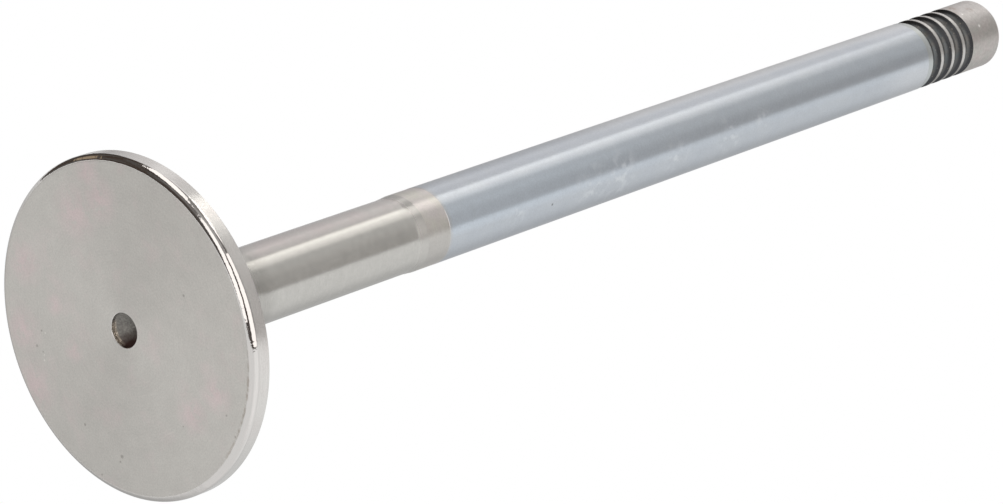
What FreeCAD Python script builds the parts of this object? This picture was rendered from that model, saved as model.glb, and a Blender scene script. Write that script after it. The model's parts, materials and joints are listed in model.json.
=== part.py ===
import FreeCAD, Part
import math
import os
import Sketcher

# An engine poppet valve, turned and ground from one bar.
# It stands on its head: the flat face of the head lies on z = 0 and the stem runs up +Z.
# Lengths are in millimetres and angles in degrees.
SIZES = {
    "overall_length": 174.5,
    # Head
    "head_diameter": 41.5,
    "face_edge_radius": 0.85,
    "margin_height": 2.5,
    "seat_width": 3.5,
    "seat_angle": 30.0,
    "underhead_angle": 20.0,
    "underhead_radius": 14.0,
    # Centre hole in the face, left by the turning centre
    "centre_hole_diameter": 4.2,
    "centre_hole_depth": 0.5,
    "centre_hole_point_angle": 118.0,
    # Neck and stem
    "neck_diameter": 9.7,
    "neck_end": 45.7,
    "stem_taper_length": 1.65,
    "stem_diameter": 10.0,
    # Collet grooves, counted from the tip towards the head
    "groove_count": 4,
    "groove_pitch": 2.77,
    "groove_radius": 1.0,
    "groove_depth": 0.69,
    "groove_edge_break": 0.1,
    "groove_flare_angle": 45.0,
    "tip_to_groove": 8.3,
    # Tip
    "tip_chamfer_length": 0.65,
    "tip_chamfer_angle": 30.0,
}

NODE = "valve"
SHEET = "sizes"
TOLERANCE = 1e-4

# The sketches' own origin, and the numbers of a line's or arc's points
ORIGIN = -1
START, END, CENTRE = 1, 2, 3

doc = FreeCAD.newDocument("engine_valve")


def make_sheet():
    """Puts every driving size into its own cell, under its own alias."""
    sheet = doc.addObject("Spreadsheet::Sheet", SHEET)
    for row, (alias, value) in enumerate(SIZES.items(), start=1):
        sheet.set("A%d" % row, alias)
        sheet.set("B%d" % row, str(value))
        sheet.setAlias("B%d" % row, alias)
    doc.recompute()
    return sheet


def origin_feature(body, role):
    """The body's own origin plane or axis with this role."""
    return next(f for f in body.Origin.OriginFeatures if f.Role == role)


def new_sketch(body, name, label, plane):
    """An empty sketch on one of the body's origin planes."""
    sketch = body.newObject("Sketcher::SketchObject", name)
    sketch.Label = label
    sketch.AttachmentSupport = (origin_feature(body, plane), [""])
    sketch.MapMode = "FlatFace"
    return sketch


def bind(sketch, name, constraint, formula):
    """Adds a named constraint whose value follows the sheet."""
    index = sketch.addConstraint(constraint)
    sketch.renameConstraint(index, name)
    sketch.setExpression("Constraints." + name, formula)


def circles_at(feature, radius, low, high):
    """Names of the feature's circular edges of this radius whose centres lie between two heights."""
    names = []
    for number, edge in enumerate(feature.Shape.Edges, start=1):
        curve = edge.Curve
        if not isinstance(curve, Part.Circle):
            continue
        if abs(curve.Radius - radius) < TOLERANCE and low - TOLERANCE < curve.Center.z < high + TOLERANCE:
            names.append("Edge%d" % number)
    return names


def finish_feature(body, feature, before, grows=False):
    """Recomputes and makes sure that the feature changed the solid the way it should."""
    body.Tip = feature
    doc.recompute()
    volume = feature.Shape.Volume
    if (volume > before) != grows or abs(volume - before) < TOLERANCE:
        raise RuntimeError("%s changed the volume from %.4f to %.4f" % (feature.Label, before, volume))
    return volume


def profile_sketch(body):
    """Half of the valve's lengthwise section, from the face up the rim, the neck and the stem to the tip."""
    sketch = new_sketch(body, "ProfileSketch", "Valve profile", "XZ_Plane")
    half_head = SIZES["head_diameter"] / 2
    half_neck = SIZES["neck_diameter"] / 2
    half_stem = SIZES["stem_diameter"] / 2
    seat_rise = SIZES["seat_width"] / 2
    stem_start = SIZES["neck_end"] + SIZES["stem_taper_length"]
    tip_start = SIZES["overall_length"] - SIZES["tip_chamfer_length"]
    # Rough corners in order. The constraints below set their true places.
    corners = [
        (0, 0),
        (half_head, 0),
        (half_head, SIZES["margin_height"]),
        (half_head - SIZES["seat_width"], SIZES["margin_height"] + seat_rise),
        (half_neck, 2 * SIZES["margin_height"] + 2 * seat_rise),
        (half_neck, SIZES["neck_end"]),
        (half_stem, stem_start),
        (half_stem, tip_start),
        (half_stem - SIZES["tip_chamfer_length"] / 2, SIZES["overall_length"]),
        (0, SIZES["overall_length"]),
    ]
    points = [FreeCAD.Vector(x, y, 0) for x, y in corners]
    face, margin, seat, underhead, neck, taper, stem, chamfer, end, axis = range(len(points))
    for index, start in enumerate(points):
        stop = points[(index + 1) % len(points)]
        sketch.addGeometry(Part.LineSegment(start, stop), False)
    for index in range(len(points)):
        following = (index + 1) % len(points)
        sketch.addConstraint(Sketcher.Constraint("Coincident", index, END, following, START))
    sketch.addConstraint(Sketcher.Constraint("Coincident", face, START, ORIGIN, START))
    for line in (face, end):
        sketch.addConstraint(Sketcher.Constraint("Horizontal", line))
    for line in (margin, neck, stem, axis):
        sketch.addConstraint(Sketcher.Constraint("Vertical", line))

    def across(name, line, formula):
        bind(sketch, name, Sketcher.Constraint("DistanceX", ORIGIN, START, line, START, 1.0), formula)

    def up(name, line, formula):
        bind(sketch, name, Sketcher.Constraint("DistanceY", ORIGIN, START, line, START, 1.0), formula)

    def leaning(name, line, formula):
        bind(sketch, name, Sketcher.Constraint("Angle", line, 1.0), formula)

    across("HeadRadius", margin, SHEET + ".head_diameter / 2")
    up("MarginHeight", seat, SHEET + ".margin_height")
    bind(sketch, "SeatWidth", Sketcher.Constraint("Distance", seat, 1.0), SHEET + ".seat_width")
    leaning("SeatAngle", seat, "180 deg - %s.seat_angle * 1 deg" % SHEET)
    leaning("UnderheadAngle", underhead, "180 deg - %s.underhead_angle * 1 deg" % SHEET)
    across("NeckRadius", neck, SHEET + ".neck_diameter / 2")
    up("NeckEnd", taper, SHEET + ".neck_end")
    up("StemStart", stem, "{0}.neck_end + {0}.stem_taper_length".format(SHEET))
    across("StemRadius", stem, SHEET + ".stem_diameter / 2")
    up("TipStart", chamfer, "{0}.overall_length - {0}.tip_chamfer_length".format(SHEET))
    leaning("TipAngle", chamfer, "90 deg + %s.tip_chamfer_angle * 1 deg" % SHEET)
    up("OverallLength", end, SHEET + ".overall_length")
    return sketch


def turned_form(body):
    """The profile turned round the valve's axis."""
    sketch = profile_sketch(body)
    doc.recompute()
    turned = body.newObject("PartDesign::Revolution", "TurnedForm")
    turned.Label = "Turned form"
    turned.Profile = sketch
    turned.ReferenceAxis = (sketch, ["V_Axis"])
    turned.Angle = 360.0
    volume = finish_feature(body, turned, 0.0, grows=True)
    return turned, volume


def underhead_blend(body, base, volume):
    """The wide fillet that blends the back of the head into the neck."""
    neck_radius = SIZES["neck_diameter"] / 2
    blend = body.newObject("PartDesign::Fillet", "UnderheadBlend")
    blend.Label = "Underhead blend"
    blend.Base = (base, circles_at(base, neck_radius, 0.0, SIZES["neck_end"] / 2))
    blend.setExpression("Radius", SHEET + ".underhead_radius")
    return blend, finish_feature(body, blend, volume, grows=True)


def face_edge_round(body, base, volume):
    """The polished round between the face and the margin."""
    edge_round = body.newObject("PartDesign::Fillet", "FaceEdgeRound")
    edge_round.Label = "Face edge round"
    edge_round.Base = (base, circles_at(base, SIZES["head_diameter"] / 2, 0.0, 0.0))
    edge_round.setExpression("Radius", SHEET + ".face_edge_radius")
    return edge_round, finish_feature(body, edge_round, volume)


def groove_sketch(body):
    """One groove's section: a round bottom and two short flares, closed by a line outside the stem."""
    sketch = new_sketch(body, "GrooveSketch", "Groove section", "XZ_Plane")
    half_stem = SIZES["stem_diameter"] / 2
    radius = SIZES["groove_radius"]
    edge_break = SIZES["groove_edge_break"]
    height = SIZES["overall_length"] - SIZES["tip_to_groove"]
    centre = FreeCAD.Vector(half_stem - SIZES["groove_depth"] + radius, height, 0)
    # The flares start as far inside the stem's surface as they end outside it
    inner, outer = half_stem - edge_break, half_stem + edge_break
    # Half of the angle that the round bottom covers
    half_turn = math.acos((centre.x - inner) / radius)
    half_width = radius * math.sin(half_turn)
    flare_rise = (outer - inner) * math.tan(math.radians(SIZES["groove_flare_angle"]))
    upper = FreeCAD.Vector(inner, height + half_width, 0)
    lower = FreeCAD.Vector(inner, height - half_width, 0)
    upper_end = FreeCAD.Vector(outer, upper.y + flare_rise, 0)
    lower_end = FreeCAD.Vector(outer, lower.y - flare_rise, 0)
    circle = Part.Circle(centre, FreeCAD.Vector(0, 0, 1), radius)
    bottom = sketch.addGeometry(Part.ArcOfCircle(circle, math.pi - half_turn, math.pi + half_turn), False)
    lower_flare = sketch.addGeometry(Part.LineSegment(lower, lower_end), False)
    closing = sketch.addGeometry(Part.LineSegment(lower_end, upper_end), False)
    upper_flare = sketch.addGeometry(Part.LineSegment(upper_end, upper), False)

    loop = [bottom, lower_flare, closing, upper_flare]
    for line, following in zip(loop, loop[1:] + loop[:1]):
        sketch.addConstraint(Sketcher.Constraint("Coincident", line, END, following, START))
    sketch.addConstraint(Sketcher.Constraint("Vertical", closing))

    def across(name, line, point, value, formula):
        constraint = Sketcher.Constraint("DistanceX", ORIGIN, START, line, point, value)
        bind(sketch, name, constraint, "{0}.stem_diameter / 2 {1}".format(SHEET, formula.format(SHEET)))

    def leaning(name, flare, formula):
        bind(sketch, name, Sketcher.Constraint("Angle", flare, 1.0), formula.format(SHEET))

    bind(sketch, "BottomRadius", Sketcher.Constraint("Radius", bottom, radius), SHEET + ".groove_radius")
    across("CentreAcross", bottom, CENTRE, centre.x, "- {0}.groove_depth + {0}.groove_radius")
    bind(
        sketch,
        "CentreUp",
        Sketcher.Constraint("DistanceY", ORIGIN, START, bottom, CENTRE, height),
        "{0}.overall_length - {0}.tip_to_groove".format(SHEET),
    )
    across("UpperEdge", bottom, START, inner, "- {0}.groove_edge_break")
    across("LowerEdge", bottom, END, inner, "- {0}.groove_edge_break")
    across("Outside", closing, START, outer, "+ {0}.groove_edge_break")
    leaning("LowerFlare", lower_flare, "-{0}.groove_flare_angle * 1 deg")
    leaning("UpperFlare", upper_flare, "180 deg + {0}.groove_flare_angle * 1 deg")
    doc.recompute()
    return sketch


def collet_grooves(body, volume):
    """The round-bottomed collet grooves, patterned from the tip towards the head."""
    sketch = groove_sketch(body)
    groove = body.newObject("PartDesign::Groove", "ColletGroove")
    groove.Label = "Collet groove"
    groove.Profile = sketch
    groove.ReferenceAxis = (sketch, ["V_Axis"])
    groove.Angle = 360.0
    volume = finish_feature(body, groove, volume)

    pattern = body.newObject("PartDesign::LinearPattern", "ColletGrooves")
    pattern.Label = "Collet grooves"
    pattern.Originals = [groove]
    pattern.Direction = (origin_feature(body, "Z_Axis"), [""])
    pattern.Reversed = True
    pattern.setExpression("Length", "({0}.groove_count - 1) * {0}.groove_pitch".format(SHEET))
    pattern.setExpression("Occurrences", SHEET + ".groove_count")
    return pattern, finish_feature(body, pattern, volume)


def centre_hole(body, volume):
    """The shallow drilled centre hole in the middle of the face."""
    sketch = new_sketch(body, "CentreHoleSketch", "Centre hole circle", "XY_Plane")
    radius = SIZES["centre_hole_diameter"] / 2
    circle = sketch.addGeometry(Part.Circle(FreeCAD.Vector(0, 0, 0), FreeCAD.Vector(0, 0, 1), radius), False)
    sketch.addConstraint(Sketcher.Constraint("Coincident", circle, CENTRE, ORIGIN, START))
    bind(
        sketch,
        "HoleRadius",
        Sketcher.Constraint("Radius", circle, radius),
        SHEET + ".centre_hole_diameter / 2",
    )
    doc.recompute()

    hole = body.newObject("PartDesign::Hole", "CentreHole")
    hole.Label = "Centre hole"
    hole.Profile = sketch
    hole.Reversed = True
    hole.DepthType = "Dimension"
    hole.DrillPoint = "Angled"
    hole.DrillForDepth = False
    hole.setExpression("Diameter", SHEET + ".centre_hole_diameter")
    hole.setExpression("Depth", SHEET + ".centre_hole_depth")
    hole.setExpression("DrillPointAngle", SHEET + ".centre_hole_point_angle")
    return hole, finish_feature(body, hole, volume)


def check_document(body):
    """Stops if any object failed, or if the valve isn't one whole solid."""
    for item in doc.Objects:
        if "Invalid" in item.State or "Error" in item.State:
            raise RuntimeError("%s failed: %s" % (item.Label, item.State))
    shape = body.Shape
    if shape.isNull() or not shape.isValid():
        raise RuntimeError("the valve's shape is null or not valid")
    if len(shape.Solids) != 1:
        raise RuntimeError("the valve has %d solids" % len(shape.Solids))


make_sheet()
valve = doc.addObject("PartDesign::Body", "Valve")
valve.Label = NODE
valve.Placement = FreeCAD.Placement()

feature, volume = turned_form(valve)
feature, volume = underhead_blend(valve, feature, volume)
feature, volume = face_edge_round(valve, feature, volume)
feature, volume = collet_grooves(valve, volume)
feature, volume = centre_hole(valve, volume)

doc.recompute()
check_document(valve)
os.makedirs("parts", exist_ok=True)
valve.Shape.exportStep("parts/%s.step" % valve.Label)

box = valve.Shape.BoundBox
print("volume %.2f mm3, faces %d" % (valve.Shape.Volume, len(valve.Shape.Faces)))
print("z %.3f to %.3f" % (box.ZMin, box.ZMax))
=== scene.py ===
import json
import math
from collections import namedtuple

import bpy
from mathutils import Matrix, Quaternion, Vector


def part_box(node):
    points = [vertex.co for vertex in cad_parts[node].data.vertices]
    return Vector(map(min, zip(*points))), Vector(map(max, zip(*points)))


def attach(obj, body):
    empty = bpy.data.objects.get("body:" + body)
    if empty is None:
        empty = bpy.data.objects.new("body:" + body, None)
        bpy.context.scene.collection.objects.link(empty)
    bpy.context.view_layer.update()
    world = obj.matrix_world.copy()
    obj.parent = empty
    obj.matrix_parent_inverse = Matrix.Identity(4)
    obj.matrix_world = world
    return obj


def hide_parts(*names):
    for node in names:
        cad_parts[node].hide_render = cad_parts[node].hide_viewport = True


# An engine poppet valve that stands on its head, seen from in front of and below the head.
# Sizes are in metres and angles in degrees.
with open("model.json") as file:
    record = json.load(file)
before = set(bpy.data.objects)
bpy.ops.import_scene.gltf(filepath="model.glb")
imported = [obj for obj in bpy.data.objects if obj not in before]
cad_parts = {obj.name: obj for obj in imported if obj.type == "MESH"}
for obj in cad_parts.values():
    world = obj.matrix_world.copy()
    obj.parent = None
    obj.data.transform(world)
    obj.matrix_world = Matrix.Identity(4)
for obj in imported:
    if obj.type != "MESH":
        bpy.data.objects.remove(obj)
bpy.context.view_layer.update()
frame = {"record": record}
MM = 0.001

# Driving sizes that the frame holds
mounts = {mount["name"]: mount for mount in frame["record"]["mounts"]}
_, valve_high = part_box("valve")
HEAD_RADIUS = valve_high[0]
LENGTH = valve_high[2]
STEM_RADIUS = mounts["stem"]["dims"]["r_mm"] * MM

# Head
FACE_EDGE_RADIUS = 0.85 * MM
MARGIN_HEIGHT = 2.5 * MM
SEAT_WIDTH = 3.5 * MM
SEAT_ANGLE = 30.0
UNDERHEAD_ANGLE = 20.0
UNDERHEAD_RADIUS = 14.0 * MM
# Centre hole in the face
HOLE_RADIUS = 2.1 * MM
HOLE_DEPTH = 0.5 * MM
HOLE_POINT_ANGLE = 118.0
# Neck and stem
NECK_RADIUS = 4.85 * MM
NECK_END = 45.7 * MM
TAPER_LENGTH = 1.65 * MM
PLATING_START = 51.4 * MM
PLATING_END = 155.8 * MM
PLATING_STEP = 0.012 * MM
# Collet grooves
GROOVE_COUNT = 4
GROOVE_PITCH = 2.77 * MM
GROOVE_RADIUS = 1.0 * MM
GROOVE_DEPTH = 0.69 * MM
GROOVE_EDGE_BREAK = 0.1 * MM
GROOVE_STEPS = 16
TIP_TO_GROOVE = 8.3 * MM
# Tip
TIP_CHAMFER_LENGTH = 0.65 * MM
TIP_CHAMFER_ANGLE = 30.0
# Small roundings of the edges
HOLE_FLOOR_ROUNDING = 0.05 * MM
HOLE_EDGE_ROUNDING = 0.07 * MM
MARGIN_EDGE_ROUNDING = 0.06 * MM
SEAT_EDGE_ROUNDING = 0.15 * MM
TAPER_ROUNDING = 0.4 * MM
PLATING_EDGE_ROUNDING = 0.01 * MM
LAND_EDGE_ROUNDING = 0.03 * MM
TIP_EDGE_ROUNDING = 0.15 * MM
TIP_END_ROUNDING = 0.1 * MM

# How finely the profile is turned into a mesh
RING_SEGMENTS = 256
STRAIGHT_STEP = 6.0 * MM
GUARD_STEP = 0.06 * MM
ARC_STEP_ANGLE = 2.5
SMALL_ROUNDING = 0.2 * MM
SMALL_ARC_STEPS = 4

# The camera stands in front of and below the head and looks up along the stem
CAMERA_PLACE = Vector((0.0, -0.33640, -0.28840))
CAMERA_PITCH = 46.299
CAMERA_YAW = 1.098
CAMERA_ROLL = 69.892
CAMERA_LENS = 137.47
CAMERA_SENSOR = 36.0

# The studio's own axes: its table is level when the valve lies on its side
STUDIO_UP = Vector((-0.861, -0.501, -0.090)).normalized()
STUDIO_EAST = Vector((0.0, 1.0, 0.0)).cross(STUDIO_UP).normalized()
STUDIO_NORTH = STUDIO_UP.cross(STUDIO_EAST)
PANEL_DISTANCE = 2.5
WALL_DISTANCE = 4.0
WALL_RINGS = 12
WALL_SIDES = 48
WALL_FOOT = -3.5
WALL_FOOT_RISE = 4.5
WALL_FOOT_TOP = -1.2
WALL_DIP = 3.4
WALL_DIP_AZIMUTH = 140.0
WALL_DIP_SHARPNESS = 4
WALL_PATCH_SCALE = 1.1
WALL_DARK = (0.075, 0.054, 0.043, 1.0)
WALL_DUSK = (0.13, 0.125, 0.12, 1.0)
WALL_GLOW = (0.99, 0.985, 0.975, 1.0)
# Each glow, shade and lift: azimuth and elevation, two cosines of nearness to it, and its level
WALL_GLOWS = [
    ((112.0, 33.0), 0.77, 0.99, 0.68),
    ((135.0, 4.0), 0.90, 0.99, 0.39),
    ((96.0, 72.0), 0.82, 0.97, 0.24),
    ((-150.0, 68.0), 0.90, 0.978, 0.48),
    ((-78.0, 50.0), 0.925, 0.985, 0.14),
]
TABLE_SHADES = [
    ((60.0, -50.0), 0.76, 0.96, 0.75),
    ((0.0, -42.0), 0.72, 0.94, 0.60),
]
TABLE_LIFT = ((-175.0, -22.0), 0.76, 0.95, 1.2)
FILL_LEVEL = 0.75
FLOOR_SIZE = 3.0
FLOOR_GAP = 0.05 * MM
FLOOR_TONE = (0.82, 0.82, 0.82, 1.0)
FLOOR_ROUGHNESS = 0.9

# Softboxes and cards: the corners, each by azimuth and elevation, the brightness and the tint.
# Where the light falls off: a direction, two cosines of nearness to it and the share of light at each.
Panel = namedtuple("Panel", "name corners level tint fall", defaults=(None,))
PINKISH = (1.0, 0.96, 0.94, 1.0)
WARM = (1.0, 0.98, 0.945, 1.0)
PANELS = [
    Panel(
        "softbox_left",
        [(-84, 40), (-117, 68), (-132, 47), (-127, 18), (-118, 6), (-82, -4.5), (-78, -2), (-87, 21)],
        1.75,
        PINKISH,
    ),
    Panel(
        "softbox_behind_camera",
        [(-158, 51), (166, 50), (142, 43), (147, 17), (155, -5), (-144, 1), (-148, 24)],
        1.72,
        PINKISH,
    ),
    Panel("softbox_above", [(8, 58.5), (-70, 65), (-98, 72), (91, 69), (57, 34.5)], 1.75, PINKISH),
    Panel("softbox_right", [(86, 46.5), (125, 64), (145, 63.5), (140, 47), (112, 46.5)], 2.2, PINKISH),
    Panel(
        "softbox_low_right",
        [(80, 38.5), (84, 32), (92, 33.9), (112, 33.9), (106, 39.6), (88, 43)],
        2.7,
        WARM,
        ((112, 52), 0.95, 0.982, 1.0, 0.18),
    ),
    Panel(
        "backdrop",
        [(43, -8), (43, 26), (58, 38), (77, 42), (85, 33), (90, -8)],
        1.0,
        (1.0, 0.98, 0.985, 1.0),
        ((85, 25), 0.77, 0.97, 0.86, 1.10),
    ),
    Panel("brown_card", [(-22, 12), (-28, 18), (2, 30), (4, 17)], 0.42, (1.1, 0.87, 0.62, 1.0)),
]

# Shader nodes: the sockets of a Mix node that blends colours, and the Vector Math nodes that give a number
MIX_COLOUR_INPUTS = (0, 6, 7)
MIX_COLOUR_OUTPUT = 2
VECTOR_TO_NUMBER = ("LENGTH", "DISTANCE", "DOT_PRODUCT")
# The middle range of a noise, which its values seldom leave
NOISE_RANGE = (0.3, 0.7)
# A quarter turn of the tangent sets the rougher direction across the tool marks
ACROSS_THE_MARKS = 0.25
METAL_EDGE_TINT = (0.8, 0.8, 0.8, 1.0)
GRAIN = 0.22 * MM

# Tones: plain ground steel, painted shade at the end of the underhead blend, and the stretch before the first
# groove
STEEL_GREY = (0.535, 0.52, 0.50, 1.0)
STEEL_WARM = (0.525, 0.503, 0.483, 1.0)
RUN_OUT_SHADE_TONE = (0.440, 0.432, 0.408, 1.0)
BLUISH = (0.482, 0.515, 0.534, 1.0)
GREENISH = (0.490, 0.512, 0.500, 1.0)

# Stretches over which a tone or the polish changes: heights, or distances from the axis
RUN_OUT_SHADE_DEEPENS = (14.5 * MM, 17.0 * MM)
RUN_OUT_SMOOTHS = (15.5 * MM, 18.6 * MM)
RUN_OUT_SHADE_FADES = (18.7 * MM, 20.6 * MM)
MARGIN_START = (0.80 * MM, 1.0 * MM)
PLATING_YELLOWISH = (51.5 * MM, 52.3 * MM)
PLATING_LIGHTENS = (143 * MM, 151 * MM)
GROOVE_DARKENS = (4.38 * MM, 4.68 * MM)
POLISH_START = (20.06 * MM, 20.14 * MM)
# How far off centre the polish lies
POLISH_SHIFT = (-0.10 * MM, 0.08 * MM, 0.0)

# Wear: places on the face and on the stem, with sizes, all in millimetres
FACE_PATCHES = [
    ((-11.4, 12.8), 3.4),
    ((-4.1, 17.1), 3.6),
    ((2.7, 18.5), 4.2),
    ((-14.7, 1.2), 4.2),
    ((-15.1, -3.5), 3.4),
    ((-18.5, -3.1), 2.6),
    ((10.3, -11.2), 3.0),
    ((11.7, -6.3), 3.0),
    ((-5.5, 10.1), 1.8),
    ((0.3, 9.7), 1.8),
]
FACE_NICKS = [
    ((-2.8, 13.5), 0.16),
    ((-0.4, 15.0), 0.14),
    ((0.2, 15.3), 0.20),
]
FACE_SPECKS = [
    ((12.9, -11.8), 0.16),
    ((12.6, -4.2), 0.12),
    ((15.5, -12.0), 0.14),
    ((15.1, 12.3), 0.16),
    ((13.8, 7.8), 0.30),
    ((14.3, 8.4), 0.18),
    ((-3.2, 14.0), 0.16),
    ((-1.7, 15.7), 0.22),
    ((-0.8, 15.0), 0.14),
    ((-1.5, -11.7), 0.20),
    ((8.9, 12.2), 0.22),
]
TIP_BROWN = [
    ((-3.6, -3.3, 166.9), 1.2),
    ((-4.4, -2.2, 168.4), 1.4),
    ((-3.4, -3.6, 170.6), 0.8),
]
TIP_LIGHT = [
    ((-0.7, -4.93, 169.8), 0.32),
    ((-3.1, -3.9, 168.2), 0.24),
]
CHROME_SPECKS = [
    ((2.91, -4.07, 71.2), 0.20),
]
CHROME_SMEARS = [
    ((2.5, -4.3, 64.4), 2.0),
    ((2.5, -4.3, 79.5), 4.0),
    ((2.4, -4.4, 85.0), 4.5),
    ((2.5, -4.3, 97.0), 3.0),
    ((2.2, -4.5, 109.0), 3.5),
    ((1.7, -4.7, 116.0), 2.0),
]

# One corner of the profile: its rounding, the finish of that bend and the finish of the run after it
Corner = namedtuple("Corner", "radius height rounding bend run")


def head_corners():
    """From the middle of the face over the margin and the seat to the neck."""
    slope = math.radians(SEAT_ANGLE)
    seat_radius = HEAD_RADIUS - SEAT_WIDTH * math.cos(slope)
    seat_top = MARGIN_HEIGHT + SEAT_WIDTH * math.sin(slope)
    hole_end = HOLE_DEPTH + HOLE_RADIUS / math.tan(math.radians(HOLE_POINT_ANGLE / 2))
    cone_top = seat_top + (seat_radius - NECK_RADIUS) * math.tan(math.radians(UNDERHEAD_ANGLE))
    return [
        Corner(0.0, hole_end, 0.0, "hole", "hole"),
        Corner(HOLE_RADIUS, HOLE_DEPTH, HOLE_FLOOR_ROUNDING, "hole", "hole"),
        Corner(HOLE_RADIUS, 0.0, HOLE_EDGE_ROUNDING, "edge", "head"),
        Corner(HEAD_RADIUS, 0.0, FACE_EDGE_RADIUS, "head", "head"),
        Corner(HEAD_RADIUS, MARGIN_HEIGHT, MARGIN_EDGE_ROUNDING, "head", "seat"),
        Corner(seat_radius, seat_top, SEAT_EDGE_ROUNDING, "seat", "underhead"),
        Corner(NECK_RADIUS, cone_top, UNDERHEAD_RADIUS, "underhead", "neck"),
    ]


def stem_corners(bare_radius):
    """From the neck over the plated length to the first groove. Bare steel lies a hair below the plating."""
    return [
        Corner(NECK_RADIUS, NECK_END, TAPER_ROUNDING, "neck", "neck"),
        Corner(bare_radius, NECK_END + TAPER_LENGTH, TAPER_ROUNDING, "neck", "bare"),
        Corner(bare_radius, PLATING_START, 0.0, "bare", "chrome"),
        Corner(STEM_RADIUS, PLATING_START + 2 * PLATING_STEP, PLATING_EDGE_ROUNDING, "chrome", "chrome"),
        Corner(STEM_RADIUS, PLATING_END - 2 * PLATING_STEP, PLATING_EDGE_ROUNDING, "chrome", "chrome"),
        Corner(bare_radius, PLATING_END, 0.0, "chrome", "sliver"),
    ]


def groove_corners(bare_radius, middle, run):
    """One round-bottomed groove with its two flares, and the finish of the land that follows it."""
    centre_radius = STEM_RADIUS - GROOVE_DEPTH + GROOVE_RADIUS
    inner_radius = STEM_RADIUS - GROOVE_EDGE_BREAK
    half_turn = math.acos((centre_radius - inner_radius) / GROOVE_RADIUS)
    half_mouth = GROOVE_RADIUS * math.sin(half_turn) + bare_radius - inner_radius
    corners = [Corner(bare_radius, middle - half_mouth, LAND_EDGE_ROUNDING, "land", "groove")]
    for step in range(GROOVE_STEPS + 1):
        angle = half_turn * (2 * step / GROOVE_STEPS - 1)
        radius = centre_radius - GROOVE_RADIUS * math.cos(angle)
        height = middle + GROOVE_RADIUS * math.sin(angle)
        corners.append(Corner(radius, height, 0.0, "groove", "groove"))
    corners.append(Corner(bare_radius, middle + half_mouth, LAND_EDGE_ROUNDING, "land", run))
    return corners


def tip_corners(bare_radius):
    """The tip's chamfer and its flat end."""
    end_radius = bare_radius - TIP_CHAMFER_LENGTH * math.tan(math.radians(TIP_CHAMFER_ANGLE))
    return [
        Corner(bare_radius, LENGTH - TIP_CHAMFER_LENGTH, TIP_EDGE_ROUNDING, "tip", "tip"),
        Corner(end_radius, LENGTH, TIP_END_ROUNDING, "tip", "tip_end"),
        Corner(0.0, LENGTH, 0.0, "tip_end", "tip_end"),
    ]


def valve_corners():
    """The valve's whole profile, from the middle of the face to the middle of the tip's end."""
    bare_radius = STEM_RADIUS - PLATING_STEP
    corners = head_corners() + stem_corners(bare_radius)
    for number in reversed(range(GROOVE_COUNT)):
        middle = LENGTH - TIP_TO_GROOVE - number * GROOVE_PITCH
        corners += groove_corners(bare_radius, middle, "land" if number else "tip")
    return corners + tip_corners(bare_radius)


def point(corner):
    return Vector((corner.radius, corner.height))


def bend_points(before, corner, after):
    """Points of the arc that rounds off one corner, or the corner itself where it is sharp."""
    here = point(corner)
    if corner.rounding == 0.0:
        return [here]
    back = (point(before) - here).normalized()
    ahead = (point(after) - here).normalized()
    half_angle = back.angle(ahead) / 2
    centre = here + (back + ahead).normalized() * (corner.rounding / math.sin(half_angle))
    start = here + back * (corner.rounding / math.tan(half_angle)) - centre
    turn = 180.0 - 2 * math.degrees(half_angle)
    if back.x * ahead.y - back.y * ahead.x > 0:
        turn = -turn
    steps = SMALL_ARC_STEPS
    if corner.rounding > SMALL_ROUNDING:
        steps = max(steps, round(abs(turn) / ARC_STEP_ANGLE))
    points = []
    for step in range(steps + 1):
        angle = math.radians(turn * step / steps)
        across = start.x * math.cos(angle) - start.y * math.sin(angle)
        up = start.x * math.sin(angle) + start.y * math.cos(angle)
        points.append(centre + Vector((across, up)))
    return points


def run_points(start, end):
    """Points inside a straight run: one near each end keeps the shading even, and the rest share it out."""
    length = (end - start).length
    if length < 3 * GUARD_STEP:
        return []
    way = (end - start) / length
    count = int(length / STRAIGHT_STEP)
    middle = [start + way * (length * number / (count + 1)) for number in range(1, count + 1)]
    return [start + way * GUARD_STEP] + middle + [end - way * GUARD_STEP]


def valve_profile():
    """Points of the profile, and the finish of each stretch between two of them."""
    corners = valve_corners()
    points, stretches = [], []
    for index, corner in enumerate(corners):
        bend = bend_points(corners[max(index - 1, 0)], corner, corners[min(index + 1, len(corners) - 1)])
        if points:
            run = run_points(points[-1], bend[0])
            stretches += [corners[index - 1].run] * (len(run) + 1)
            points += run
        stretches += [corner.bend] * (len(bend) - 1)
        points += bend
    return points, stretches


def put(name, data):
    """Puts a mesh or a camera into the scene as an object."""
    made = bpy.data.objects.new(name, data)
    bpy.context.collection.objects.link(made)
    return made


def turned_mesh(name, points, stretches, materials):
    """Turns the profile round the Z axis. Its first and last points lie on the axis."""
    names = list(materials)
    vertices = [(0.0, 0.0, points[0].y)]
    for place in points[1:-1]:
        for segment in range(RING_SEGMENTS):
            angle = 2 * math.pi * segment / RING_SEGMENTS
            vertices.append((place.x * math.cos(angle), place.x * math.sin(angle), place.y))
    vertices.append((0.0, 0.0, points[-1].y))
    last = len(vertices) - 1
    faces, slots = [], []
    for index, finish in enumerate(stretches):
        lower = 1 + (index - 1) * RING_SEGMENTS
        upper = lower + RING_SEGMENTS
        for segment in range(RING_SEGMENTS):
            following = (segment + 1) % RING_SEGMENTS
            if index == 0:
                faces.append((0, upper + following, upper + segment))
            elif index == len(stretches) - 1:
                faces.append((lower + segment, lower + following, last))
            else:
                faces.append((lower + segment, lower + following, upper + following, upper + segment))
            slots.append(names.index(finish))
    mesh = bpy.data.meshes.new(name)
    mesh.from_pydata(vertices, [], faces)
    for material in materials.values():
        mesh.materials.append(material)
    mesh.polygons.foreach_set("material_index", slots)
    mesh.polygons.foreach_set("use_smooth", [True] * len(faces))
    mesh.update()
    return put(name, mesh)


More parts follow.
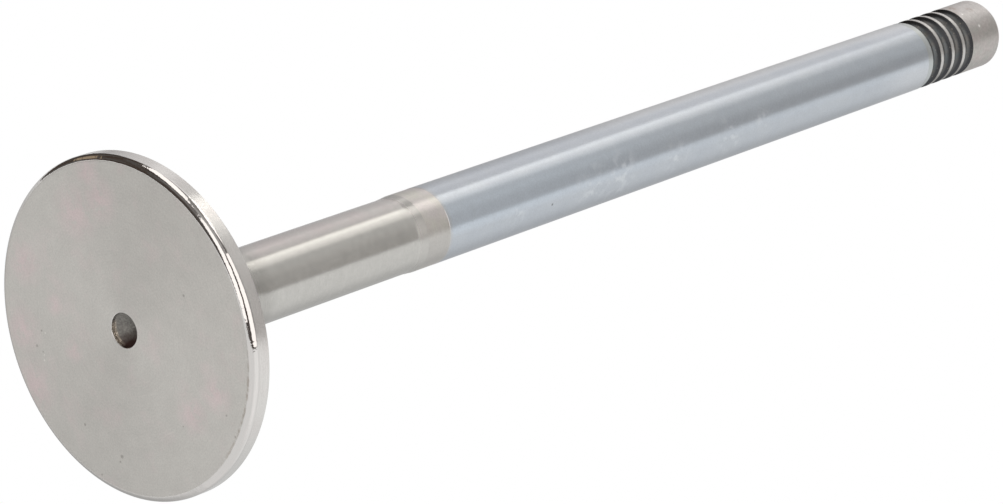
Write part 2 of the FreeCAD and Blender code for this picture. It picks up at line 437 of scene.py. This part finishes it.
def feed(tree, socket, value):
    """Gives a socket its value, or links it where the value is a socket itself."""
    if isinstance(value, bpy.types.NodeSocket):
        tree.links.new(value, socket)
    else:
        socket.default_value = value


def add(tree, kind, settings=None, **inputs):
    """Adds one shader node. In the name of an input, an underscore stands for a space."""
    made = tree.nodes.new("ShaderNode" + kind)
    for name, value in (settings or {}).items():
        setattr(made, name, value)
    for name, value in inputs.items():
        feed(tree, made.inputs[name.replace("_", " ")], value)
    return made


def calculate(tree, operation, *values):
    """One Math node."""
    made = add(tree, "Math", {"operation": operation})
    for socket, value in zip(made.inputs, values):
        feed(tree, socket, value)
    return made.outputs["Value"]


def product(tree, first, *others):
    """Multiplies values, one after the other."""
    total = first
    for other in others:
        total = calculate(tree, "MULTIPLY", total, other)
    return total


def reckon(tree, operation, *vectors):
    """One Vector Math node, and its result as a number or a vector."""
    made = add(tree, "VectorMath", {"operation": operation})
    for socket, value in zip(made.inputs, vectors):
        feed(tree, socket, value)
    return made.outputs["Value" if operation in VECTOR_TO_NUMBER else "Vector"]


def spread(tree, value, low, high, to_low=0.0, to_high=1.0):
    """Maps one range of a value onto another and clamps it."""
    made = add(
        tree,
        "MapRange",
        {"clamp": True},
        Value=value,
        From_Min=low,
        From_Max=high,
        To_Min=to_low,
        To_Max=to_high,
    )
    return made.outputs["Result"]


def mix(tree, amount, first, second):
    """Mixes two numbers."""
    return add(tree, "Mix", Factor=amount, A=first, B=second).outputs["Result"]


def blend(tree, amount, first, second):
    """Mixes two colours."""
    made = add(tree, "Mix", {"data_type": "RGBA"})
    for index, value in zip(MIX_COLOUR_INPUTS, (amount, first, second)):
        feed(tree, made.inputs[index], value)
    return made.outputs[MIX_COLOUR_OUTPUT]


def colour(red, green, blue):
    return (red, green, blue, 1.0)


class Surface:
    """A metal material under way: its node tree, its shader and the coordinates that its marks follow."""

    def __init__(self, name, anisotropy=0.0, slope=1.0):
        self.material = bpy.data.materials.new(name)
        self.material.use_nodes = True
        self.tree = self.material.node_tree
        self.shader = self.tree.nodes["Principled BSDF"]
        self.give("Metallic", 1.0)
        self.give("Specular Tint", METAL_EDGE_TINT)
        if anisotropy:
            self.give("Anisotropic", anisotropy)
            self.give("Anisotropic Rotation", ACROSS_THE_MARKS)
            tangent = add(self.tree, "Tangent", {"direction_type": "RADIAL", "axis": "Z"})
            self.give("Tangent", tangent.outputs["Tangent"])
        self.place = add(self.tree, "TexCoord").outputs["Object"]
        parts = add(self.tree, "SeparateXYZ", Vector=self.place)
        self.x, self.y, self.z = parts.outputs["X"], parts.outputs["Y"], parts.outputs["Z"]
        self.flat = add(self.tree, "CombineXYZ", X=self.x, Y=self.y).outputs["Vector"]
        self.radius = reckon(self.tree, "LENGTH", self.flat)
        # The slope follows the profile's lean, so that this grows along the profile
        lean = calculate(self.tree, "MULTIPLY", self.radius, slope)
        self.across = calculate(self.tree, "ADD", self.z, lean)

    def give(self, name, value):
        """Gives the shader's input of this name a value or a link."""
        feed(self.tree, self.shader.inputs[name], value)

    def noise(self, size, detail=2.0, roughness=0.5, offset=0.0):
        """Cloudy noise whose spots have about this size."""
        vector = reckon(self.tree, "ADD", self.place, (offset, offset, offset))
        made = add(self.tree, "TexNoise", Vector=vector, Scale=1 / size, Detail=detail, Roughness=roughness)
        return made.outputs["Fac"]

    def marks(self, width, length, detail=2.0, offset=0.0):
        """Noise drawn out round the axis, like tool marks of this width and length."""
        vector = add(
            self.tree,
            "CombineXYZ",
            X=calculate(self.tree, "DIVIDE", self.x, length),
            Y=calculate(self.tree, "DIVIDE", self.y, length),
            Z=calculate(self.tree, "MULTIPLY_ADD", self.across, 1 / width, offset),
        ).outputs["Vector"]
        made = add(self.tree, "TexNoise", Vector=vector, Scale=1.0, Detail=detail, Roughness=0.6)
        return made.outputs["Fac"]

    def facing(self, turn, low, high):
        """0 to 1 as a place comes round to this turn from the camera's side, between two cosines."""
        angle = math.radians(turn)
        part = calculate(self.tree, "MULTIPLY", self.y, -math.cos(angle))
        part = calculate(self.tree, "MULTIPLY_ADD", self.x, math.sin(angle), part)
        return spread(self.tree, calculate(self.tree, "DIVIDE", part, self.radius), low, high)

    def spots(self, places, softness=0.4):
        """1 inside any of several round spots, fading to 0 at their rims. The lists are in millimetres."""
        total = None
        for place, size in places:
            middle = [number * MM for number in (*place, 0.0)[:3]]
            rim = size * MM
            away = reckon(self.tree, "DISTANCE", self.place, middle)
            one = spread(self.tree, away, rim * (1 - softness), rim, 1.0, 0.0)
            total = one if total is None else calculate(self.tree, "MAXIMUM", total, one)
        return total

    def from_noise(self, noise, low, high):
        """Maps the middle range of a noise onto a range of values."""
        return spread(self.tree, noise, *NOISE_RANGE, low, high)

    def vary(self, tone, *layers):
        """Lets noise layers, each with its strength, make a colour darker and lighter round its own value."""
        parts = [self.from_noise(layer, 1 - strength / 2, 1 + strength / 2) for layer, strength in layers]
        total = product(self.tree, *parts)
        made = add(self.tree, "VectorMath", {"operation": "SCALE"}, Vector=tone, Scale=total)
        return made.outputs["Vector"]

    def emboss(self, height, depth):
        """Raises and lowers the shading by a height times a depth in metres."""
        made = add(self.tree, "Bump", Strength=1.0, Distance=depth, Height=height)
        self.give("Normal", made.outputs["Normal"])


def ground_steel(name, base, tint, roughness, anisotropy, slope, mark_width, mark_depth):
    """Satin ground steel with fine marks round the axis, a little grain and a faint change of tone."""
    surface = Surface(name, anisotropy, slope)
    tree = surface.tree
    cloud = spread(tree, surface.noise(5 * MM, 3.0), 0.35, 0.65)
    fine = surface.marks(mark_width, 7 * MM)
    tone = blend(tree, cloud, base, tint)
    surface.give("Base Color", surface.vary(tone, (fine, 0.10), (surface.noise(GRAIN), 0.08)))
    surface.give("Roughness", surface.from_noise(fine, roughness - 0.03, roughness + 0.03))
    surface.emboss(fine, mark_depth)
    return surface.material


def neck_steel():
    """The neck: smooth satin, softly mottled, greenish grey with a pinkish upper side, and painted shade next
    to the head.
    """
    surface = Surface("neck_steel", anisotropy=0.6)
    tree = surface.tree
    mottle = surface.noise(1.1 * MM, 4.0, 0.6)
    patches = spread(tree, surface.noise(4 * MM, 3.0), 0.3, 0.55)
    pink = product(tree, surface.facing(-62, 0.86, 0.97), patches)
    tone = blend(tree, pink, colour(0.516, 0.508, 0.482), colour(0.524, 0.490, 0.472))
    # Painted shade: the neck is darker where it meets the underhead rounding
    tone = blend(tree, spread(tree, surface.z, *RUN_OUT_SHADE_FADES), RUN_OUT_SHADE_TONE, tone)
    darker = spread(tree, surface.z, NECK_END, NECK_END + 0.5 * MM)
    tone = blend(tree, darker, tone, colour(0.488, 0.478, 0.455))
    fine = surface.marks(0.12 * MM, 5 * MM)
    surface.give("Base Color", surface.vary(tone, (fine, 0.04), (mottle, 0.06), (surface.noise(GRAIN), 0.05)))
    taper = spread(tree, surface.z, NECK_END - 1.4 * MM, NECK_END + 0.6 * MM)
    surface.give("Roughness", mix(tree, taper, surface.from_noise(mottle, 0.225, 0.245), 0.275))
    surface.emboss(fine, 0.0003 * MM)
    return surface.material


def bare_steel():
    """The bare band before the plating: ground, beige with a yellowish touch, and painted shade on one side.
    """
    surface = Surface("bare_steel", anisotropy=0.5)
    tree = surface.tree
    cloud = spread(tree, surface.noise(2.5 * MM, 4.0), 0.38, 0.62)
    tone = blend(tree, cloud, colour(0.588, 0.553, 0.538), colour(0.572, 0.560, 0.512))
    # Painted shade: one side of the band is darker
    tone = blend(tree, surface.facing(45, 0.78, 0.95), tone, colour(0.475, 0.462, 0.440))
    fine = surface.marks(0.1 * MM, 7 * MM)
    mottle = surface.noise(1.2 * MM, 4.0)
    surface.give("Base Color", surface.vary(tone, (fine, 0.05), (mottle, 0.06), (surface.noise(GRAIN), 0.08)))
    surface.give("Roughness", surface.from_noise(fine, 0.305, 0.335))
    surface.emboss(fine, 0.0005 * MM)
    return surface.material


def underhead_steel():
    """Under the head: turned and ground, smoother, and darker with painted shade where the rounding runs out
    into the neck.
    """
    surface = Surface("underhead_steel", anisotropy=0.6, slope=-1.0)
    tree = surface.tree
    cloud = spread(tree, surface.noise(5 * MM, 3.0), 0.35, 0.65)
    tone = blend(tree, cloud, STEEL_GREY, STEEL_WARM)
    # Painted shade: darker where the rounding runs out into the neck
    tone = blend(tree, spread(tree, surface.z, *RUN_OUT_SHADE_DEEPENS), tone, RUN_OUT_SHADE_TONE)
    fine = surface.marks(0.2 * MM, 7 * MM)
    surface.give("Base Color", surface.vary(tone, (fine, 0.10), (surface.noise(GRAIN), 0.08)))
    smoother = spread(tree, surface.z, *RUN_OUT_SMOOTHS)
    surface.give("Roughness", mix(tree, smoother, surface.from_noise(fine, 0.30, 0.36), 0.235))
    surface.emboss(product(tree, fine, spread(tree, surface.z, *RUN_OUT_SMOOTHS, 1.0, 0.15)), 0.002 * MM)
    return surface.material


def land_steel():
    """The lands between the grooves: bright along their middle, darker at both edges, with painted shade on
    one side.
    """
    surface = Surface("land_steel", anisotropy=0.4)
    tree = surface.tree
    ragged = surface.noise(0.5 * MM, 4.0, 0.6, 0.06)
    from_last_groove = calculate(tree, "SUBTRACT", surface.z, LENGTH - TIP_TO_GROOVE)
    from_groove = calculate(tree, "PINGPONG", from_last_groove, GROOVE_PITCH / 2)
    from_middle = calculate(tree, "SUBTRACT", GROOVE_PITCH / 2, from_groove)
    from_middle = calculate(tree, "MULTIPLY_ADD", ragged, 0.22 * MM, from_middle)
    bright, shade_tone = colour(0.565, 0.555, 0.538), colour(0.30, 0.29, 0.275)
    # Painted shade: one side of the lands is dim
    tone = blend(tree, surface.facing(74, 0.86, 0.985), bright, shade_tone)
    # Darker at both edges, with a ragged border
    tone = blend(tree, spread(tree, from_middle, 0.34 * MM, 0.50 * MM), tone, colour(0.15, 0.14, 0.13))
    surface.give("Base Color", surface.vary(tone, (surface.noise(GRAIN), 0.10)))
    surface.give("Roughness", 0.36)
    surface.emboss(surface.marks(0.1 * MM, 7 * MM), 0.002 * MM)
    return surface.material


def tip_steel():
    """The tip: duller, mottled pinkish and greenish grey, with painted light on its upper side, and a few
    light and brownish spots.
    """
    surface = Surface("tip_steel", anisotropy=0.3)
    tree = surface.tree
    mottle = surface.noise(1.6 * MM, 5.0, 0.65)
    greenish, pinkish = colour(0.440, 0.433, 0.408), colour(0.468, 0.432, 0.418)
    tone = blend(tree, spread(tree, mottle, 0.38, 0.62), greenish, pinkish)
    # Painted light: the upper side of the tip is lighter
    tone = blend(tree, surface.facing(-46, 0.78, 0.97), tone, colour(0.550, 0.528, 0.513))
    fleck = surface.noise(0.5 * MM, 4.0, 0.6, 0.02)
    fine = surface.marks(0.12 * MM, 6 * MM)
    tone = surface.vary(tone, (fleck, 0.18), (fine, 0.08), (surface.noise(GRAIN), 0.08))
    brown = product(tree, surface.spots(TIP_BROWN, 0.8), spread(tree, fleck, 0.42, 0.60), 0.7)
    tone = blend(tree, brown, tone, colour(0.30, 0.22, 0.17))
    tone = blend(tree, surface.spots(TIP_LIGHT, 0.7), tone, colour(0.80, 0.78, 0.76))
    surface.give("Base Color", tone)
    surface.give("Roughness", surface.from_noise(mottle, 0.38, 0.45))
    surface.emboss(fleck, 0.003 * MM)
    return surface.material


def face_tone(surface, fine, grain):
    """The satin face: grey with faintly pinkish patches, mostly towards the rim, a few specks and nicks."""
    tree = surface.tree
    broken = surface.noise(1.5 * MM, 5.0, 0.65, 0.03)
    pink = product(tree, surface.spots(FACE_PATCHES, 0.9), spread(tree, broken, 0.34, 0.52))
    stray = spread(tree, surface.noise(5 * MM, 5.0, 0.65, 0.03), 0.52, 0.72, 0.0, 0.5)
    pink = calculate(tree, "MAXIMUM", pink, stray)
    tone = blend(tree, pink, colour(0.540, 0.524, 0.494), colour(0.605, 0.522, 0.515))
    tone = surface.vary(tone, (fine, 0.07), (grain, 0.13), (surface.noise(3 * MM, 5.0, 0.65), 0.08))
    specks = product(tree, surface.spots(FACE_SPECKS), 0.42)
    tone = blend(tree, specks, tone, colour(0.16, 0.14, 0.12))
    nicks = product(tree, surface.spots(FACE_NICKS, 0.8), 0.6)
    return blend(tree, nicks, tone, colour(0.80, 0.78, 0.74))


def polish_tone(surface):
    """The polished edge: finely streaked, with painted light near the margin on one side."""
    tree = surface.tree
    streaks = spread(tree, surface.marks(0.05 * MM, 3 * MM, 3.0, 7.0), 0.42, 0.62)
    tone = blend(tree, streaks, colour(0.585, 0.575, 0.555), colour(0.625, 0.595, 0.580))
    # Painted light: lighter near the margin on one side
    pale = product(tree, surface.facing(90, 0.60, 0.88), spread(tree, surface.z, 0.45 * MM, 0.70 * MM))
    return blend(tree, pale, tone, colour(0.72, 0.705, 0.685))


def margin_tone(surface, fine, grain):
    """The margin: lighter than the face, with painted light on one side."""
    tree = surface.tree
    cloud = spread(tree, surface.noise(4 * MM), 0.35, 0.65)
    tone = blend(tree, cloud, colour(0.66, 0.647, 0.625), colour(0.645, 0.62, 0.60))
    # Painted light: one side of the margin is lighter
    tone = blend(tree, surface.facing(90, 0.72, 0.95), tone, colour(0.80, 0.79, 0.765))
    return surface.vary(tone, (fine, 0.08), (grain, 0.06))


def head_steel():
    """The face, its polished edge and the margin: satin that gives way to polish round the edge."""
    surface = Surface("head_steel", anisotropy=0.4)
    tree = surface.tree
    fine = surface.marks(0.06 * MM, 5 * MM, 3.0)
    grain = surface.noise(GRAIN)
    # The polish was put on by hand, so it lies a little off centre and its border wanders
    away = reckon(tree, "DISTANCE", surface.flat, POLISH_SHIFT)
    wander = calculate(tree, "MULTIPLY_ADD", surface.noise(0.9 * MM, 4.0, 0.6), 0.16 * MM, away)
    polish = spread(tree, wander, *POLISH_START)
    margin = spread(tree, surface.z, *MARGIN_START)
    bright = blend(tree, margin, polish_tone(surface), margin_tone(surface, fine, grain))
    tone = blend(tree, polish, face_tone(surface, fine, grain), bright)

    # A brownish stain runs along the border of the polish on one side
    border = calculate(tree, "ABSOLUTE", calculate(tree, "SUBTRACT", wander, POLISH_START[0] - 0.02 * MM))
    border = spread(tree, border, 0.05 * MM, 0.24 * MM, 1.0, 0.0)
    patches = spread(tree, surface.noise(1.1 * MM, 4.0), 0.40, 0.60)
    stained = product(tree, surface.facing(42, 0.90, 0.98), patches)
    stain = product(tree, border, stained, 0.55)
    surface.give("Base Color", blend(tree, stain, tone, colour(0.27, 0.22, 0.17)))

    smooth = surface.from_noise(surface.noise(2 * MM), 0.05, 0.10)
    surface.give("Roughness", mix(tree, polish, 0.38, mix(tree, margin, smooth, 0.24)))
    ripple = product(tree, surface.noise(0.9 * MM, 3.0), 12.0)
    surface.emboss(mix(tree, polish, fine, mix(tree, margin, ripple, fine)), 0.0025 * MM)
    return surface.material


def polished_steel():
    """The polished edge of the centre hole."""
    surface = Surface("polished_steel")
    surface.give("Base Color", colour(0.60, 0.585, 0.565))
    surface.give("Roughness", surface.from_noise(surface.noise(2 * MM), 0.07, 0.13))
    surface.emboss(surface.noise(0.5 * MM, 3.0), 0.004 * MM)
    return surface.material


def hard_chrome():
    """The plated length of the stem: bluish, ground smooth, lighter at its end, with painted light on the
    camera's side and on the upper side, and a few pale smears.
    """
    surface = Surface("hard_chrome", anisotropy=0.6)
    tree = surface.tree
    cloud = spread(tree, surface.noise(4 * MM, 4.0), 0.35, 0.65)
    fine = surface.marks(0.08 * MM, 6 * MM)
    tone = blend(tree, cloud, colour(0.487, 0.517, 0.550), colour(0.466, 0.498, 0.537))
    # Its end is lighter, but not on the camera's side
    camera_side = surface.facing(-14, 0.80, 0.95)
    end = calculate(tree, "SUBTRACT", spread(tree, surface.z, *PLATING_LIGHTENS), camera_side)
    tone = blend(tree, calculate(tree, "MAXIMUM", end, 0.0), tone, colour(0.555, 0.58, 0.61))
    # Painted light: it is more blue and lighter on the camera's side, more so towards its start
    blue_light = spread(tree, surface.z, 70 * MM, 105 * MM, 1.0, 0.45)
    blue_light = product(tree, surface.facing(3, 0.87, 0.98), blue_light)
    tone = blend(tree, blue_light, tone, colour(0.532, 0.588, 0.648))
    # Painted light: its upper side is a little lighter from about the middle of the valve on
    upper = product(tree, surface.facing(-76, 0.90, 0.985), spread(tree, surface.z, 76 * MM, 96 * MM))
    tone = blend(tree, upper, tone, colour(0.602, 0.620, 0.634))
    # Its start is a little yellowish, with an uneven border
    uneven = calculate(tree, "MULTIPLY_ADD", surface.noise(0.8 * MM, 3.0), 0.5 * MM, surface.z)
    start = spread(tree, uneven, *PLATING_YELLOWISH, 0.7, 0.0)
    tone = blend(tree, start, tone, colour(0.50, 0.49, 0.475))
    mottle = surface.noise(1.4 * MM, 4.0)
    tone = surface.vary(tone, (fine, 0.02), (surface.noise(GRAIN), 0.10), (mottle, 0.04))
    wisps = spread(tree, surface.noise(1.1 * MM, 3.0, 0.5, 0.01), 0.50, 0.64)
    smears = product(tree, surface.spots(CHROME_SMEARS, 0.8), wisps)
    tone = blend(tree, product(tree, smears, 0.40), tone, colour(0.72, 0.75, 0.77))
    tone = blend(tree, product(tree, surface.spots(CHROME_SPECKS), 0.7), tone, colour(0.12, 0.12, 0.13))
    surface.give("Base Color", tone)
    rough = surface.from_noise(fine, 0.275, 0.29)
    surface.give("Roughness", calculate(tree, "MULTIPLY_ADD", smears, 0.12, rough))
    surface.emboss(fine, 0.00012 * MM)
    return surface.material


def groove_black():
    """The collet grooves: dark oxide, darkest along their edges, with a few light brownish flecks."""
    surface = Surface("groove_black")
    tree = surface.tree
    stain = spread(tree, surface.noise(1.2 * MM, 4.0), 0.40, 0.62)
    tone = blend(tree, stain, colour(0.103, 0.113, 0.117), colour(0.123, 0.120, 0.114))
    tone = blend(tree, spread(tree, surface.radius, *GROOVE_DARKENS), tone, colour(0.057, 0.059, 0.063))
    fleck = spread(tree, surface.noise(0.35 * MM, 3.0, 0.6, 0.05), 0.66, 0.72)
    surface.give("Base Color", blend(tree, product(tree, fleck, 0.5), tone, colour(0.45, 0.39, 0.32)))
    surface.give("Roughness", 0.42)
    surface.emboss(surface.marks(0.15 * MM, 4 * MM), 0.004 * MM)
    return surface.material


def drilled_steel():
    """The centre hole: darker, rougher and mottled, with painted shadow on one side and light flecks on one
    side of its wall.
    """
    surface = Surface("drilled_steel", slope=-1.0)
    tree = surface.tree
    tone = surface.vary((0.27, 0.262, 0.245), (surface.noise(0.25 * MM, 3.0), 0.5))
    # Painted shadow: one side of the hole turns almost black
    uneven = calculate(tree, "MULTIPLY_ADD", surface.noise(0.8 * MM, 3.0), 1.2 * MM, surface.x)
    tone = blend(tree, spread(tree, uneven, 0.8 * MM, 2.1 * MM), tone, colour(0.085, 0.05, 0.045))
    wall = spread(tree, surface.radius, 1.85 * MM, 2.02 * MM)
    beige = product(tree, wall, surface.facing(178, 0.60, 0.90), 0.8)
    tone = blend(tree, beige, tone, colour(0.42, 0.37, 0.31))
    fleck = spread(tree, surface.noise(0.22 * MM, 2.0, 0.5, 0.04), 0.56, 0.62)
    tone = blend(tree, product(tree, fleck, beige), tone, colour(1.0, 0.92, 0.80))
    surface.give("Base Color", tone)
    surface.give("Roughness", 0.7)
    surface.emboss(surface.marks(0.12 * MM, 3 * MM), 0.004 * MM)
    return surface.material


def finishes():
    """Every finish that the profile names, in the order of the material slots."""
    grey, warm = STEEL_GREY, STEEL_WARM
    return {
        "hole": drilled_steel(),
        "edge": polished_steel(),
        "head": head_steel(),
        "seat": ground_steel("seat_steel", grey, warm, 0.28, 0.5, -1.0, 0.08 * MM, 0.0015 * MM),
        "underhead": underhead_steel(),
        "neck": neck_steel(),
        "bare": bare_steel(),
        "chrome": hard_chrome(),
        "sliver": ground_steel("sliver_steel", BLUISH, GREENISH, 0.34, 0.4, 1.0, 0.1 * MM, 0.001 * MM),
        "groove": groove_black(),
        "land": land_steel(),
        "tip": tip_steel(),
        "tip_end": ground_steel("tip_end_steel", grey, warm, 0.34, 0.2, 1.0, 0.15 * MM, 0.003 * MM),
    }


def make_valve():
    points, stretches = valve_profile()
    piece = turned_mesh("valve_finish", points, stretches, finishes())
    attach(piece, "root")
    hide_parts("valve")


def studio_direction(azimuth, elevation):
    """A direction from the valve, by compass and height above the studio's table."""
    turn, rise = math.radians(azimuth), math.radians(elevation)
    level = STUDIO_NORTH * math.cos(turn) + STUDIO_EAST * math.sin(turn)
    return level * math.cos(rise) + STUDIO_UP * math.sin(rise)


def stage_lit(name, vertices, faces, shade):
    """A glowing piece of the studio that the metal reflects and the camera doesn't see."""
    mesh = bpy.data.meshes.new(name)
    mesh.from_pydata(vertices, [], faces)
    material = bpy.data.materials.new(name)
    material.use_nodes = True
    tree = material.node_tree
    tree.nodes.clear()
    glow = add(tree, "Emission")
    shade(tree, glow)
    add(tree, "OutputMaterial", Surface=glow.outputs["Emission"])
    mesh.materials.append(material)
    piece = put(name, mesh)
    piece.visible_camera = False
    return piece


def nearness(tree, way, direction, low, high, to_low, to_high):
    """Maps how nearly a way points in a studio direction, as a cosine, onto a range."""
    near = reckon(tree, "DOT_PRODUCT", reckon(tree, "NORMALIZE", way), studio_direction(*direction))
    return spread(tree, near, low, high, to_low, to_high)


def make_panel(panel):
    """A softbox or a card. Its glow is even, or falls off to one side."""
    def shade(tree, glow):
        level = panel.level
        if panel.fall:
            place = add(tree, "TexCoord").outputs["Object"]
            direction, low, high, at_low, at_high = panel.fall
            level = nearness(tree, place, direction, low, high, at_low * panel.level, at_high * panel.level)
        feed(tree, glow.inputs["Color"], panel.tint)
        feed(tree, glow.inputs["Strength"], level)

    vertices = [studio_direction(*corner) * PANEL_DISTANCE for corner in panel.corners]
    stage_lit(panel.name, vertices, [tuple(range(len(vertices)))], shade)


def wall_foot(azimuth):
    """How high the walls start, in degrees: higher in the north, and lower round the azimuth of the dip."""
    rise = WALL_FOOT_RISE * max(math.cos(math.radians(azimuth)), 0.0)
    dip = WALL_DIP * max(math.cos(math.radians(azimuth - WALL_DIP_AZIMUTH)), 0.0) ** WALL_DIP_SHARPNESS
    return min(WALL_FOOT + rise, WALL_FOOT_TOP) - dip


def make_walls():
    """The dark room above the table: a dome, lighter in a few places, that only reflections see."""
    def uneven(tree, glow):
        place = add(tree, "TexCoord").outputs["Object"]
        glows = [nearness(tree, place, way, low, high, 0.0, level) for way, low, high, level in WALL_GLOWS]
        lit = glows[0]
        for further in glows[1:]:
            lit = calculate(tree, "MAXIMUM", lit, further)
        patches = add(tree, "TexNoise", Vector=place, Scale=WALL_PATCH_SCALE, Detail=2.0).outputs["Fac"]
        dark = blend(tree, spread(tree, patches, 0.40, 0.62), WALL_DARK, WALL_DUSK)
        feed(tree, glow.inputs["Color"], blend(tree, lit, dark, WALL_GLOW))

    vertices, faces = [], []
    for ring in range(WALL_RINGS):
        for side in range(WALL_SIDES):
            azimuth = 360.0 * side / WALL_SIDES
            foot = wall_foot(azimuth)
            elevation = foot + (90.0 - foot) * ring / WALL_RINGS
            vertices.append(studio_direction(azimuth, elevation) * WALL_DISTANCE)
    vertices.append(STUDIO_UP * WALL_DISTANCE)
    for ring in range(WALL_RINGS):
        for side in range(WALL_SIDES):
            here = ring * WALL_SIDES + side
            following = ring * WALL_SIDES + (side + 1) % WALL_SIDES
            if ring == WALL_RINGS - 1:
                faces.append((here, following, len(vertices) - 1))
            else:
                faces.append((here, following, following + WALL_SIDES, here + WALL_SIDES))
    walls = stage_lit("studio_walls", vertices, faces, uneven)
    for kind in ("diffuse", "transmission", "shadow", "volume_scatter"):
        setattr(walls, "visible_" + kind, False)


def make_world():
    """White for the camera, a soft fill for the floor, and a white table for the metal, unevenly lit."""
    world = bpy.data.worlds.new("studio")
    bpy.context.scene.world = world
    world.use_nodes = True
    tree = world.node_tree
    tree.nodes.clear()
    way = add(tree, "TexCoord").outputs["Generated"]
    shades = [nearness(tree, way, place, low, high, 1.0, level) for place, low, high, level in TABLE_SHADES]
    place, low, high, level = TABLE_LIFT
    lift = nearness(tree, way, place, low, high, 1.0, level)
    table = product(tree, calculate(tree, "MINIMUM", *shades), lift)
    rays = add(tree, "LightPath").outputs
    mirrored = mix(tree, rays["Is Glossy Ray"], FILL_LEVEL, table)
    white = calculate(tree, "MAXIMUM", rays["Is Camera Ray"], rays["Is Transmission Ray"])
    strength = mix(tree, white, mirrored, 1.0)
    background = add(tree, "Background", Color=colour(1.0, 1.0, 1.0), Strength=strength)
    add(tree, "OutputWorld", Surface=background.outputs["Background"])


def make_floor():
    """A pale floor under the head. It is open from below, because the camera looks up through it."""
    half = FLOOR_SIZE / 2
    corners = [(-half, -half), (half, -half), (half, half), (-half, half)]
    mesh = bpy.data.meshes.new("floor")
    mesh.from_pydata([(x, y, -FLOOR_GAP) for x, y in corners], [], [(0, 1, 2, 3)])
    material = bpy.data.materials.new("floor_pale")
    material.use_nodes = True
    tree = material.node_tree
    shader = tree.nodes["Principled BSDF"]
    feed(tree, shader.inputs["Base Color"], FLOOR_TONE)
    feed(tree, shader.inputs["Roughness"], FLOOR_ROUGHNESS)
    open_below = add(tree, "MixShader", Fac=add(tree, "NewGeometry").outputs["Backfacing"])
    for socket, side in zip(open_below.inputs[1:], (shader, add(tree, "BsdfTransparent"))):
        feed(tree, socket, side.outputs["BSDF"])
    feed(tree, tree.nodes["Material Output"].inputs["Surface"], open_below.outputs["Shader"])
    mesh.materials.append(material)
    floor = put("floor", mesh)
    floor.visible_glossy = False
    floor.visible_shadow = False


def make_camera():
    data = bpy.data.cameras.new("camera")
    data.lens = CAMERA_LENS
    data.sensor_width = CAMERA_SENSOR
    camera = put("camera", data)
    pitch, yaw = math.radians(CAMERA_PITCH), math.radians(CAMERA_YAW)
    ahead = Vector((math.sin(yaw) * math.cos(pitch), math.cos(yaw) * math.cos(pitch), math.sin(pitch)))
    camera.location = CAMERA_PLACE
    camera.rotation_mode = "QUATERNION"
    level = ahead.to_track_quat("-Z", "Y")
    camera.rotation_quaternion = level @ Quaternion((0.0, 0.0, 1.0), math.radians(CAMERA_ROLL))
    bpy.context.scene.camera = camera


make_camera()
make_valve()
make_floor()
make_walls()
make_world()
for panel in PANELS:
    make_panel(panel)
bpy.context.scene.view_settings.view_transform = "Standard"
